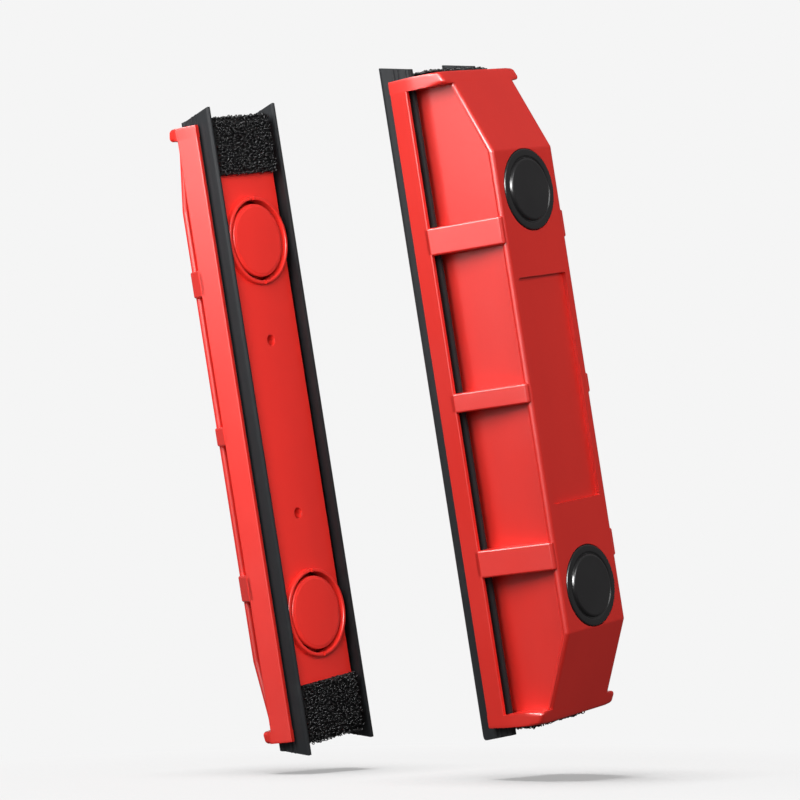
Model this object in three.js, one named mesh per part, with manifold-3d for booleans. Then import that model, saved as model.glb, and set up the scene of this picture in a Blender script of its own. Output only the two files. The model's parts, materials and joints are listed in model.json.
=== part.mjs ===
// Magnetic glass cleaner: two long plastic halves that clamp a glass pane between them.
//
// Millimetres, +Z up along the cleaner, +X out of the pane on the grip side, +Y across it.
// The glass face that the grip half cleans is the plane X = 0. The slim half stands off on the
// other side of the pane, turned half a turn about Z, and slides along +X until it is clamped.
//
// Each half is drawn in its own frame, which is the grip half's: X is the height above the
// glass, Y is across the half and Z is along it.

import * as THREE from "three";
import { mergeVertices } from "three/addons/utils/BufferGeometryUtils.js";
import Module from "manifold-3d";

const wasm = await Module();
wasm.setup();

// ---------------------------------------------------------------- driving dimensions

const GAP = 0.3; // clearance between pieces that touch on the real object
const STAND_OFF = 98; // distance between the two halves' blade tips as shown

const LENGTH = 280; // moulded shell, end face to end face
const HALF_LENGTH = LENGTH / 2;
const END_WALL = 5.5;

const GRIP_HEIGHT = 52; // glass to the outer face
const GRIP_SLOPE_FOOT = 37; // height of the outer face where its sloped end meets the end wall
const SLIM_HEIGHT = 27;
const SLIM_SLOPE_FOOT = 22.4;
const END_HALF_WIDTH = 27.5; // end walls are wider than the outer plate and flush with its slope
const END_CORNER = 1.5;
const END_RIM = 1.2;
const SLOPE_START = 103; // distance from the middle to where the outer face starts to slope

const PLATE_HALF_WIDTH = 21.9;
const PLATE_EDGE = 3.4; // thickness of the outer plate at its overhanging edge
const PLATE_EDGE_FOOT = 2.6; // the same at the foot of the slope
const PLATE_CHAMFER = 0.8;
const BOX_HALF_WIDTH = 19.4; // the recessed side panels
const WALL = 2.2;
const ROOF = 3.2; // thickness of the outer plate over the hollow

const RAIL_FOOT = { x: 6.5, y: 26.7 }; // outer edges of the flange rail beside the blade
const RAIL_HEAD = { x: 16.8, y: 28.6 };
const RAIL_THICKNESS = 2;

const RIB_PITCH = 69.5;
const OUTER_RIB_WIDTH = 11.8;
const MIDDLE_RIB_WIDTH = 8.3;
const RIB_PROUD = 1.6; // how far a rib stands out past the outer plate's edge

const RECESS = { halfLength: 48.5, halfWidth: 17, depth: 1.9 }; // blank label recess

const BLADE = { y: 22.7, thickness: 1.8, overhang: 5.5, endRake: 3.4, ridges: [7.4, 9.6] };
const BEAD = { x: 15.5, radius: 1.7 };
const RETAINING_LIP = { near: 11.3, far: 12.9, slit: 2.7 };

const PLATE = { front: 4.5, back: 6.7, halfWidth: 20.1 }; // face plate behind the glass
const LOCATOR = { near: 52, far: 62, thickness: 1.6, depth: 3 }; // tabs behind the face plate
const COLLAR = { outer: 20.1, inner: 18.2, front: 2.1, slit: 2.4 };
const MAGNET_Z = 85.4; // distance of both magnets from the middle
const COVER = { radius: 17.15, raised: 12.6, front: 2.5, step: 0.45, back: 4.2 };
const MAGNET = { radius: 15, front: 4.6, thickness: 10 };
const YOKE_THICKNESS = 2;
const WELL = { inner: 16.2, outer: 18.7, front: 7 };
const CAP = { radius: 17.45, centre: 13.4, rim: 2.4, proud: 0.5, boss: 0.7, groove: 0.5 };

const SCREW_Z = 39.7;
const SCREW = { head: 2.2, headHeight: 1.7, shank: 1.25, seat: 12 };
const SCREW_CROSS = { reach: 1.3, halfWidth: 0.35, depth: 1 };
const SCREW_BOSS = { radius: 4.2, bore: 2.5, back: 14 };
const SCREW_POST = { radius: 4.2, bore: 1.55 };

const PAD = { start: 116, halfWidth: 19.4, front: 0.8, thickness: 2.7, endThickness: 1.6 };
const TAPE_THICKNESS = 0.4;
const GRIP_PAD_WRAP = 27; // height to which a pad is folded up over the end face
const SLIM_PAD_WRAP = 19;

const ROUND_SIDES = 30;
const HIDDEN_SIDES = 20; // round pieces that are shut inside
const SCREW_SIDES = 12;

// ---------------------------------------------------------------- materials

const finishes = {
  shell: { color: 0xd9342b, roughness: 0.28, metalness: 0 },
  plate: { color: 0xcf322b, roughness: 0.32, metalness: 0 },
  cover: { color: 0xd2332c, roughness: 0.3, metalness: 0 },
  rubber: { color: 0x2b2d2f, roughness: 0.6, metalness: 0 },
  cap: { color: 0x26282a, roughness: 0.45, metalness: 0 },
  pad: { color: 0x101011, roughness: 0.95, metalness: 0 },
  tape: { color: 0xe4e0d4, roughness: 0.8, metalness: 0 },
  magnet: { color: 0xc9cbcd, roughness: 0.2, metalness: 1 },
  steel: { color: 0x8e9194, roughness: 0.35, metalness: 1 },
};

// ---------------------------------------------------------------- solids

/** A closed geometry as a manifold solid. */
function solidOf(geometry) {
  const bare = geometry.clone();
  bare.deleteAttribute("normal");
  bare.deleteAttribute("uv");
  const merged = mergeVertices(bare, 1e-4);
  return new wasm.Manifold(
    new wasm.Mesh({
      numProp: 3,
      vertProperties: merged.attributes.position.array,
      triVerts: new Uint32Array(merged.index.array),
    }),
  );
}

/** A manifold solid as a flat-shaded geometry. */
function geometryOf(solid) {
  const mesh = solid.getMesh();
  const indexed = new THREE.BufferGeometry();
  indexed.setAttribute("position", new THREE.BufferAttribute(mesh.vertProperties, 3));
  indexed.setIndex(new THREE.BufferAttribute(mesh.triVerts, 1));
  const geometry = indexed.toNonIndexed();
  geometry.computeVertexNormals();
  return geometry;
}

function join(solids) {
  return solids.reduce((sum, solid) => sum.add(solid));
}

function cut(solid, tools) {
  return tools.reduce((rest, tool) => rest.subtract(tool), solid);
}

/** Extrudes an outline of [a, b] points by depth along the shape's own Z axis. */
function extrude(outline, depth) {
  const shape = new THREE.Shape(outline.map(([a, b]) => new THREE.Vector2(a, b)));
  return new THREE.ExtrudeGeometry(shape, { depth, bevelEnabled: false });
}

/** An outline of [x, y] points, extruded along Z. */
function alongZ(outline, from, to) {
  return solidOf(extrude(outline, to - from).translate(0, 0, from));
}

/** An outline of [x, z] points, extruded along Y. */
function alongY(outline, from, to) {
  const geometry = extrude(outline, to - from);
  return solidOf(geometry.rotateX(Math.PI / 2).translate(0, to, 0));
}

/** A box between two corners. */
function box(low, high) {
  const size = high.map((value, axis) => value - low[axis]);
  const middle = high.map((value, axis) => (value + low[axis]) / 2);
  return solidOf(new THREE.BoxGeometry(...size).translate(...middle));
}

/** A solid turned about an axis parallel to X at height z; profile holds [radius, x] points. */
function turned(profile, z = 0, sides = ROUND_SIDES) {
  const points = profile.map(([radius, x]) => new THREE.Vector2(radius, x));
  if (THREE.ShapeUtils.isClockWise(points)) points.reverse();
  const geometry = new THREE.LatheGeometry([...points, points[0]], sides);
  return solidOf(geometry.rotateZ(-Math.PI / 2).translate(0, 0, z));
}

/** A round bar along X. */
function disc(radius, from, to, z = 0, sides = ROUND_SIDES) {
  const geometry = new THREE.CylinderGeometry(radius, radius, to - from, sides);
  return solidOf(geometry.rotateZ(-Math.PI / 2).translate((from + to) / 2, 0, z));
}

function mirroredInZ(outline) {
  return outline.map(([x, z]) => [x, -z]);
}

function onSide(outline, side) {
  return outline.map(([x, y]) => [x, side * y]);
}

// ---------------------------------------------------------------- shell

const FOOT_Z = HALF_LENGTH - END_WALL + 0.5; // the outer plate reaches a little into the end wall

function slopeOf(half) {
  return (half.height - half.slopeFoot) / (FOOT_Z - SLOPE_START);
}

/** The outer face's centre line, as [x, z] points from the lower end to the upper end. */
function outerLine(half, inset, footInset = inset) {
  const drop = footInset * (Math.hypot(1, slopeOf(half)) - 1);
  const upper = [
    [half.height - inset, SLOPE_START],
    [half.slopeFoot - footInset - drop, FOOT_Z],
  ];
  return [...mirroredInZ(upper).reverse(), ...upper];
}

/** The outer plate, whose edges overhang the side panels and are chamfered. */
function outerPlate(half) {
  const outer = outerLine(half, 0);
  const chamfer = outerLine(half, PLATE_CHAMFER);
  const inner = outerLine(half, PLATE_EDGE, PLATE_EDGE_FOOT);
  const crown = PLATE_HALF_WIDTH - PLATE_CHAMFER;
  return join([
    alongY([...chamfer, ...[...inner].reverse()], -PLATE_HALF_WIDTH, PLATE_HALF_WIDTH),
    alongY([...outer, ...[...inner].reverse()], -crown, crown),
  ]);
}

/** The long box between the side panels, open towards the glass. */
function boxBody(half) {
  const outer = outerLine(half, PLATE_EDGE / 2);
  const front = PLATE.back + GAP;
  const outline = [[front, FOOT_Z], [front, -FOOT_Z], ...outer];
  return alongY(outline, -BOX_HALF_WIDTH, BOX_HALF_WIDTH);
}

function hollow(half) {
  const inner = outerLine(half, ROOF);
  const foot = HALF_LENGTH - END_WALL;
  const ends = [
    [inner[0][0], -foot],
    ...inner.slice(1, 3),
    [inner[3][0], foot],
  ];
  const outline = [[0, foot], [0, -foot], ...ends];
  return alongY(outline, -(BOX_HALF_WIDTH - WALL), BOX_HALF_WIDTH - WALL);
}

/** Solid strip beside the box; the blade's channel is cut out of it and leaves the rail. */
function railStrip(side) {
  const front = PLATE.back + GAP;
  const outline = [
    [front, BOX_HALF_WIDTH - 1],
    [front, BLADE.y],
    [RAIL_FOOT.x, BLADE.y],
    [RAIL_FOOT.x, RAIL_FOOT.y],
    [RAIL_HEAD.x, RAIL_HEAD.y],
    [RAIL_HEAD.x, BOX_HALF_WIDTH - 1],
  ];
  return alongZ(onSide(outline, side), -HALF_LENGTH, HALF_LENGTH);
}

function railInner(x) {
  const lean = (RAIL_HEAD.y - RAIL_FOOT.y) / (RAIL_HEAD.x - RAIL_FOOT.x);
  return RAIL_FOOT.y + lean * (x - RAIL_FOOT.x) - RAIL_THICKNESS;
}

/** The channel that holds a blade by its bead, narrowed by two retaining lips. */
function bladeChannel(side) {
  const { near, far, slit } = RETAINING_LIP;
  const back = BEAD.x + BEAD.radius + GAP;
  const outline = [
    [0, BOX_HALF_WIDTH],
    [near, BOX_HALF_WIDTH],
    [near, BLADE.y - slit / 2],
    [far, BLADE.y - slit / 2],
    [far, BOX_HALF_WIDTH],
    [back, BOX_HALF_WIDTH],
    [back, railInner(back)],
    [far, railInner(far)],
    [far, BLADE.y + slit / 2],
    [near, BLADE.y + slit / 2],
    [near, railInner(near)],
    [0, railInner(0)],
  ];
  return alongZ(onSide(outline, side), -HALF_LENGTH - 1, HALF_LENGTH + 1);
}

/** A rib that ties the rail to the outer plate and stands a little proud of its edge. */
function rib(half, side, z, width) {
  const head = half.height - 0.5;
  const outline = [
    [RAIL_HEAD.x - 2, BOX_HALF_WIDTH - 1],
    [RAIL_HEAD.x - 2, railInner(RAIL_HEAD.x - 2) + RAIL_THICKNESS],
    [RAIL_HEAD.x, RAIL_HEAD.y],
    [head - 0.9, PLATE_HALF_WIDTH + RIB_PROUD],
    [head, PLATE_HALF_WIDTH + RIB_PROUD - 1],
    [head, BOX_HALF_WIDTH - 1],
  ];
  return alongZ(onSide(outline, side), z - width / 2, z + width / 2);
}

/** An end wall that stands out past the outer plate's edges and is flush with its slope. */
function endWall(half, end) {
  const crestAt = (z) => half.slopeFoot - slopeOf(half) * (z - FOOT_Z);
  const inner = HALF_LENGTH - END_WALL;
  const crest = crestAt(inner);
  const right = [
    [RAIL_FOOT.x, RAIL_FOOT.y],
    [RAIL_HEAD.x, RAIL_HEAD.y],
    [crest - END_CORNER, END_HALF_WIDTH],
    [crest - 0.3 * END_CORNER, END_HALF_WIDTH - 0.3 * END_CORNER],
    [crest, END_HALF_WIDTH - END_CORNER],
  ];
  const front = PLATE.back + GAP;
  const inside = BOX_HALF_WIDTH + 0.6;
  const across = [[front, -inside], [RAIL_FOOT.x, -inside], ...onSide(right, -1)];
  const outline = [...across, ...[...right].reverse(), [RAIL_FOOT.x, inside], [front, inside]];
  const wall = alongZ(outline, inner, HALF_LENGTH);

  const rim = [0, Math.PI / 4, Math.PI / 2].map((angle) => {
    const z = HALF_LENGTH - END_RIM * (1 - Math.cos(angle));
    return [crestAt(z) - END_RIM * (1 - Math.sin(angle)), z];
  });
  const side = [[0, inner], [0, HALF_LENGTH], ...rim, [crest, inner]];
  const rounded = wall.intersect(alongY(side, -LENGTH, LENGTH));
  return end > 0 ? rounded : rounded.mirror([0, 0, 1]);
}

/** The tube that holds a magnet's stack, and the seat for the cap in the outer face. */
function wellTube(half, z) {
  return disc(WELL.outer, WELL.front, half.height - ROOF / 2, z);
}

function wellCuts(half, z) {
  const seat = half.height + CAP.proud - CAP.rim - GAP;
  return [
    disc(WELL.inner, 0, half.height + 1, z),
    disc(CAP.radius + GAP, seat, half.height + 1, z),
  ];
}

function screwPost(half, z) {
  return disc(SCREW_POST.radius, SCREW_BOSS.back + GAP, half.height - ROOF / 2, z, HIDDEN_SIDES);
}

function screwBore(half, z) {
  return disc(SCREW_POST.bore, 0, half.height - ROOF, z, SCREW_SIDES);
}

function labelRecess(half) {
  const { halfLength, halfWidth, depth } = RECESS;
  const low = [half.height - depth, -halfWidth, -halfLength];
  return box(low, [half.height + 1, halfWidth, halfLength]);
}

/** Thickens the outer plate behind the label recess. */
function recessBacking(half) {
  const { halfLength, depth } = RECESS;
  const low = [half.height - ROOF - depth, -BOX_HALF_WIDTH + 1, -halfLength - 2];
  return box(low, [half.height - ROOF + 0.5, BOX_HALF_WIDTH - 1, halfLength + 2]);
}

function shell(half) {
  const ribs = [1, -1].flatMap((side) => [
    rib(half, side, -RIB_PITCH, OUTER_RIB_WIDTH),
    rib(half, side, 0, MIDDLE_RIB_WIDTH),
    rib(half, side, RIB_PITCH, OUTER_RIB_WIDTH),
  ]);
  const outside = join([
    boxBody(half),
    outerPlate(half),
    railStrip(1),
    railStrip(-1),
    endWall(half, 1),
    endWall(half, -1),
    ...ribs,
  ]);
  const hollowed = cut(outside, [bladeChannel(1), bladeChannel(-1), hollow(half)]);
  const inside = [
    wellTube(half, MAGNET_Z),
    wellTube(half, -MAGNET_Z),
    screwPost(half, SCREW_Z),
    screwPost(half, -SCREW_Z),
    recessBacking(half),
  ];
  return cut(join([hollowed, ...inside]), [
    ...wellCuts(half, MAGNET_Z),
    ...wellCuts(half, -MAGNET_Z),
    screwBore(half, SCREW_Z),
    screwBore(half, -SCREW_Z),
    labelRecess(half),
  ]);
}

// ---------------------------------------------------------------- face plate and its fasteners

/** A raised collar round a magnet cover, split at the top and at the bottom. */
function collar(z) {
  const { inner, outer, front, slit } = COLLAR;
  const chamfer = 0.5;
  const ring = turned(
    [
      [inner, front],
      [outer - chamfer, front],
      [outer, front + chamfer],
      [outer, PLATE.front + 0.5],
      [inner, PLATE.front + 0.5],
    ],
    z,
  );
  const reach = outer + 1;
  return ring.subtract(box([0, -slit / 2, z - reach], [PLATE.front, slit / 2, z + reach]));
}

function facePlate() {
  const { front, back, halfWidth } = PLATE;
  const reach = HALF_LENGTH - GAP;
  const slab = box([front, -halfWidth, -reach], [back, halfWidth, reach]);
  const bosses = [SCREW_Z, -SCREW_Z].map((z) =>
    disc(SCREW_BOSS.radius, back - 0.5, SCREW_BOSS.back, z, HIDDEN_SIDES),
  );
  const outside = BOX_HALF_WIDTH - WALL - GAP;
  const { near, far, thickness, depth } = LOCATOR;
  const tab = box([back - 0.5, outside - thickness, near], [back + depth, outside, far]);
  const tabs = [tab, tab.mirror([0, 1, 0])].flatMap((one) => [one, one.mirror([0, 0, 1])]);
  const windows = [MAGNET_Z, -MAGNET_Z].map((z) => disc(MAGNET.radius + GAP, 0, back + 1, z));
  const bores = [SCREW_Z, -SCREW_Z].flatMap((z) => [
    disc(SCREW_BOSS.bore, 0, SCREW.seat, z, HIDDEN_SIDES),
    disc(SCREW_POST.bore, 0, SCREW_BOSS.back + 1, z, SCREW_SIDES),
  ]);
  const solid = join([slab, ...bosses, ...tabs, collar(MAGNET_Z), collar(-MAGNET_Z)]);
  return cut(solid, [...windows, ...bores]);
}

function screw(half, z) {
  const { head, headHeight, shank, seat } = SCREW;
  const top = seat - GAP - headHeight;
  const tip = half.screwTip;
  const body = turned(
    [
      [0, top],
      [head - 0.6, top],
      [head, top + 0.7],
      [head, seat - GAP],
      [shank, seat - GAP],
      [shank, tip - 2],
      [0, tip],
    ],
    z,
    SCREW_SIDES,
  );
  const { reach, halfWidth, depth } = SCREW_CROSS;
  const arms = [
    box([top - 1, -reach, z - halfWidth], [top + depth, reach, z + halfWidth]),
    box([top - 1, -halfWidth, z - reach], [top + depth, halfWidth, z + reach]),
  ];
  return cut(body, arms);
}

// ---------------------------------------------------------------- magnet stack

function magnetCover(z) {
  const { radius, raised, front, step, back } = COVER;
  return turned(
    [
      [0, front],
      [raised, front],
      [raised + 0.3, front + step],
      [radius - 0.4, front + step],
      [radius, front + step + 0.4],
      [radius, back],
      [0, back],
    ],
    z,
  );
}

function magnet(z) {
  const { radius, front, thickness } = MAGNET;
  const edge = 0.4;
  const back = front + thickness;
  return turned(
    [
      [0, front],
      [radius - edge, front],
      [radius, front + edge],
      [radius, back - edge],
      [radius - edge, back],
      [0, back],
    ],
    z,
    HIDDEN_SIDES,
  );
}

function yoke(z) {
  const front = MAGNET.front + MAGNET.thickness + GAP;
  return disc(MAGNET.radius, front, front + YOKE_THICKNESS, z, HIDDEN_SIDES);
}

/** A plug that closes the well and reaches down on to the yoke, with a raised centre. */
function cap(half, z) {
  const face = half.height + CAP.proud;
  const shoulder = face - CAP.rim;
  const foot = MAGNET.front + MAGNET.thickness + YOKE_THICKNESS + 2 * GAP;
  const { radius, centre, boss, groove } = CAP;
  const skirt = WELL.inner - GAP;
  return turned(
    [
      [0, face + boss],
      [centre - 0.8, face + boss],
      [centre, face],
      [centre, face - groove],
      [centre + 0.8, face - groove],
      [centre + 1.2, face],
      [radius - 0.7, face],
      [radius, face - 0.7],
      [radius, shoulder],
      [skirt, shoulder],
      [skirt, foot],
      [skirt - 1.8, foot],
      [skirt - 1.8, shoulder - 0.4],
      [0, shoulder - 0.4],
    ],
    z,
  );
}

// ---------------------------------------------------------------- blades and pads

/** Half of a blade's section as [x, y] points from the tip round to the back of the bead. */
function bladeHalfSection() {
  const half = BLADE.thickness / 2;
  const ridge = half + 0.35;
  const points = [
    [0, half - 0.45],
    [1.2, half],
  ];
  for (const x of BLADE.ridges) {
    points.push([x, half], [x + 0.4, ridge], [x + 0.8, ridge], [x + 1.2, half]);
  }
  const start = Math.asin(half / BEAD.radius);
  const steps = 6;
  for (let step = 0; step <= steps; step += 1) {
    const angle = start + ((Math.PI - start) * step) / steps;
    const beside = step < steps ? BEAD.radius * Math.sin(angle) : 0;
    points.push([BEAD.x - BEAD.radius * Math.cos(angle), beside]);
  }
  return points;
}

/** A rubber blade whose ends are cut at a rake, longer at the tip than at the bead. */
function blade(side) {
  const right = bladeHalfSection();
  const left = onSide(right.slice(0, -1), -1).reverse();
  const reach = HALF_LENGTH + BLADE.overhang;
  const depth = BEAD.x + BEAD.radius;
  const geometry = extrude([...right, ...left], 2 * reach).translate(0, 0, -reach);
  const position = geometry.attributes.position;
  for (let i = 0; i < position.count; i += 1) {
    const z = position.getZ(i);
    const rake = BLADE.endRake * (0.5 - position.getX(i) / depth);
    position.setZ(i, z + Math.sign(z) * rake);
  }
  return solidOf(geometry.translate(0, side * BLADE.y, 0));
}

/** A strip on the face plate that is folded up over the end face, as an [x, z] outline. */
function foldedOutline(strip) {
  const { front, thickness, start, end, endThickness, top } = strip;
  return [
    [front, start],
    [front, end],
    [top, end],
    [top, end - endThickness],
    [front + thickness, end - endThickness],
    [front + thickness, start],
  ];
}

function tape(half, end) {
  const outline = foldedOutline({
    front: PLATE.front - GAP - TAPE_THICKNESS,
    thickness: TAPE_THICKNESS,
    start: PAD.start + 1,
    end: HALF_LENGTH + GAP + TAPE_THICKNESS,
    endThickness: TAPE_THICKNESS,
    top: half.padWrap - 1,
  });
  const width = PAD.halfWidth - 1;
  return alongY(end > 0 ? outline : mirroredInZ(outline), -width, width);
}

function pad(half, end) {
  const outline = foldedOutline({
    front: PAD.front,
    thickness: PAD.thickness,
    start: PAD.start,
    end: HALF_LENGTH + TAPE_THICKNESS + 2 * GAP + PAD.endThickness,
    endThickness: PAD.endThickness,
    top: half.padWrap,
  });
  return alongY(end > 0 ? outline : mirroredInZ(outline), -PAD.halfWidth, PAD.halfWidth);
}

// ---------------------------------------------------------------- the two halves

/** Both halves are alike but for their depth; every piece's name starts with the half's. */
function buildHalf(half) {
  const group = new THREE.Group();
  const add = (piece, solid, finish) => {
    const material = new THREE.MeshStandardMaterial(finishes[finish]);
    const mesh = new THREE.Mesh(geometryOf(solid), material);
    mesh.name = `${half.name}_${piece}`;
    group.add(mesh);
  };

  add("shell", shell(half), "shell");
  add("face_plate", facePlate(), "plate");
  add("blade_left", blade(-1), "rubber");
  add("blade_right", blade(1), "rubber");
  add("screw_upper", screw(half, SCREW_Z), "steel");
  add("screw_lower", screw(half, -SCREW_Z), "steel");

  for (const [place, end] of [
    ["top", 1],
    ["bottom", -1],
  ]) {
    add(`magnet_cover_${place}`, magnetCover(end * MAGNET_Z), "cover");
    add(`magnet_${place}`, magnet(end * MAGNET_Z), "magnet");
    add(`yoke_${place}`, yoke(end * MAGNET_Z), "steel");
    add(`cap_${place}`, cap(half, end * MAGNET_Z), "cap");
    add(`pad_${place}`, pad(half, end), "pad");
    add(`pad_tape_${place}`, tape(half, end), "tape");
  }
  return group;
}

const gripHalf = buildHalf({
  name: "grip",
  height: GRIP_HEIGHT,
  slopeFoot: GRIP_SLOPE_FOOT,
  screwTip: 30,
  padWrap: GRIP_PAD_WRAP,
});

const slimHalf = buildHalf({
  name: "slim",
  height: SLIM_HEIGHT,
  slopeFoot: SLIM_SLOPE_FOOT,
  screwTip: 21.5,
  padWrap: SLIM_PAD_WRAP,
});
slimHalf.rotation.z = Math.PI;
slimHalf.position.x = -STAND_OFF;

const cleaner = new THREE.Group();
cleaner.add(gripHalf, slimHalf);

export default cleaner;
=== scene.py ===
import json
import math
import random

import bmesh
import bpy
from mathutils import Matrix, Vector

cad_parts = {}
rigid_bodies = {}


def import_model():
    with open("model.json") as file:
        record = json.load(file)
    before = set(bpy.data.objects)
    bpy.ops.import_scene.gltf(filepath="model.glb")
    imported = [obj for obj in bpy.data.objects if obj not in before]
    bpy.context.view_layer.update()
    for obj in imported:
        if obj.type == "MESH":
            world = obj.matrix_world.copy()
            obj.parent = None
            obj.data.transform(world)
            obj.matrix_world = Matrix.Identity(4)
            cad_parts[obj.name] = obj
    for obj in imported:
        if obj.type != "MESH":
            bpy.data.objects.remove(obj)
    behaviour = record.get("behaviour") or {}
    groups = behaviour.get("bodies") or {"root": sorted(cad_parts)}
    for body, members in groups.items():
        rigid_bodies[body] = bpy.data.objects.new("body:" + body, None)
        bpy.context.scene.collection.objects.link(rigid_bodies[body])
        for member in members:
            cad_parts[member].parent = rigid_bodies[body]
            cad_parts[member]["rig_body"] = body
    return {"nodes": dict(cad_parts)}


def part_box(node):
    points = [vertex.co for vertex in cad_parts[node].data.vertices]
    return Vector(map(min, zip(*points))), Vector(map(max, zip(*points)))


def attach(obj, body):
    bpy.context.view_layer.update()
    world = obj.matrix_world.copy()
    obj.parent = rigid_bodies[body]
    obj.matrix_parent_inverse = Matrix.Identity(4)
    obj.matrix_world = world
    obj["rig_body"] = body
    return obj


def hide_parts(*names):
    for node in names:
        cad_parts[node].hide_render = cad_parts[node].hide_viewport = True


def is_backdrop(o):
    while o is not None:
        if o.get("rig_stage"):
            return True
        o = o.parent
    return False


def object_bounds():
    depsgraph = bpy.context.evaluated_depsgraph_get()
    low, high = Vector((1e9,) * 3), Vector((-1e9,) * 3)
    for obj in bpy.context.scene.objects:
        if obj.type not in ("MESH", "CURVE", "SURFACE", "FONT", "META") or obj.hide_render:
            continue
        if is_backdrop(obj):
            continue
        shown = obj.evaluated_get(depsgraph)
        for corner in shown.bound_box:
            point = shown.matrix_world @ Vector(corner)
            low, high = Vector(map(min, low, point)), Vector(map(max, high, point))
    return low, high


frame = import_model()
cad_low, cad_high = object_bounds()

MM = 0.001
HALVES = ("grip", "slim")
ENDS = {"top": 1, "bottom": -1}  # the sign of z at either end

# ---------------------------------------------------------------- view, light and floor

VIEW_AZIMUTH = math.radians(38.0)
VIEW_ELEVATION = math.radians(0.8)
VIEW_ROLL = math.radians(-8.9)
VIEW_DISTANCE = 1.5
VIEW_AIM = Vector((-0.0276, 0.0005))  # right and up of the origin, in the view's own plane
LENS = 155.0
CLIP = (0.05, 40.0)

BACKGROUND = 0.913
BACKDROP_RADIUS = 6.0
AMBIENT = (0.08, 0.30)  # light from below and from above
AMBIENT_SPREAD = 0.8  # it reaches them this far below and above level, straight up being 1

FLOOR_DROP = 0.1615  # below the middle of the part, along the view's up direction
FLOOR_LEAN = math.radians(0.9)
FLOOR_PITCH = math.radians(3.0)
FLOOR_RADIUS = 0.30
FLOOR_FADE = (0.14, 0.97 * FLOOR_RADIUS)  # where the paper starts and ends its fade
FLOOR_GLOW = 0.38
FLOOR_PAPER = 0.2

MIDDLE = (-0.02, 0, 0.05)  # the point that most lights face
LIGHTS = {  # place, size, radiance and the point that the light faces
    "main_light": ((-0.07, -0.48, 0.38), (0.4, 0.4), 7.9, MIDDLE),
    "front_light": ((0.85, -0.25, 0.45), (0.5, 0.5), 6.0, MIDDLE),
    "back_light": ((-0.70, 0.85, 0.25), (0.5, 0.5), 7.0, MIDDLE),
    "rib_sheen": ((-0.25, -0.66, 0.26), (0.3, 0.34), 7.0, (0, 0, 0.1)),
    "slope_glint": ((0.40, -1.15, 0.54), (0.9, 0.5), 40.0, MIDDLE),
    "rib_glint": ((-0.52, -0.80, 0.86), (0.5, 0.4), 28.0, MIDDLE),
    "plate_light": ((0.30, -0.62, 0.22), (0.3, 0.4), 14.6, (-0.1, 0, 0)),
    "fill_light": ((-0.10, -0.60, -0.25), (0.3, 0.3), 8.0, (-0.11, 0, 0)),
    "floor_light": ((0.0, 0.0, 3.0), (1.0, 1.0), 75.5, (0, 0, 0)),
}
ROOM_LIGHTS = ("main_light", "front_light", "back_light", "rib_sheen")
STRONG_GLINTS = ("slope_glint", "rib_glint")
ONLY_REFLECTED = ("rib_sheen", "slope_glint", "rib_glint")
NOT_REFLECTED = ("back_light", "fill_light")


def view_axes():
    """The view's right, up and backward directions."""
    a, e, r = VIEW_AZIMUTH, VIEW_ELEVATION, VIEW_ROLL
    back = Vector((math.sin(a) * math.cos(e), -math.cos(a) * math.cos(e), math.sin(e)))
    level = Vector((math.cos(a), math.sin(a), 0))
    rise = back.cross(level)
    right = math.cos(r) * level + math.sin(r) * rise
    up = -math.sin(r) * level + math.cos(r) * rise
    return right, up, back


def add_camera():
    """A long lens that looks at the part from the view's direction."""
    right, up, back = view_axes()
    data = bpy.data.cameras.new("camera")
    data.lens = LENS
    data.clip_start, data.clip_end = CLIP
    camera = bpy.data.objects.new("camera", data)
    bpy.context.scene.collection.objects.link(camera)
    place = right * VIEW_AIM.x + up * VIEW_AIM.y + back * VIEW_DISTANCE
    turn = Matrix((right, up, back)).transposed()
    camera.matrix_world = Matrix.Translation(place) @ turn.to_4x4()
    bpy.context.scene.camera = camera


def add_area_light(name, place, size, radiance, aim):
    """A soft box of a given brightness that stands at a place and faces a point."""
    data = bpy.data.lights.new(name, "AREA")
    data.shape = "RECTANGLE"
    data.size, data.size_y = size
    data.energy = radiance * math.pi * size[0] * size[1]
    light = bpy.data.objects.new(name, data)
    bpy.context.scene.collection.objects.link(light)
    light.location = place
    light.rotation_mode = "QUATERNION"
    light.rotation_quaternion = (Vector(place) - Vector(aim)).to_track_quat("Z", "Y")
    return light


def group_of(name, things, state="INCLUDE"):
    """A collection of the things that a light reaches, or with EXCLUDE of those it leaves out."""
    group = bpy.data.collections.new(name)
    for index, thing in enumerate(things):
        group.objects.link(thing)
        group.collection_objects[index].light_linking.link_state = state
    return group


def add_lights(floor, plate_pieces, shell_pieces, rubber_pieces):
    """Puts up every light and says which pieces it reaches and what shows it."""
    lights = {name: add_area_light(name, *setting) for name, setting in LIGHTS.items()}
    not_floor = group_of("not_floor", [floor], "EXCLUDE")
    not_rubber = group_of("not_rubber", [floor, *rubber_pieces], "EXCLUDE")
    reach = {name: not_floor for name in ROOM_LIGHTS}
    reach.update({name: not_rubber for name in STRONG_GLINTS})
    reach["plate_light"] = group_of("lit_plate", plate_pieces)
    reach["fill_light"] = group_of("lit_shell", shell_pieces)
    reach["floor_light"] = group_of("only_floor", [floor])
    for name, light in lights.items():
        light.light_linking.receiver_collection = reach[name]
        light.visible_diffuse = name not in ONLY_REFLECTED
        light.visible_glossy = name not in NOT_REFLECTED


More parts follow.
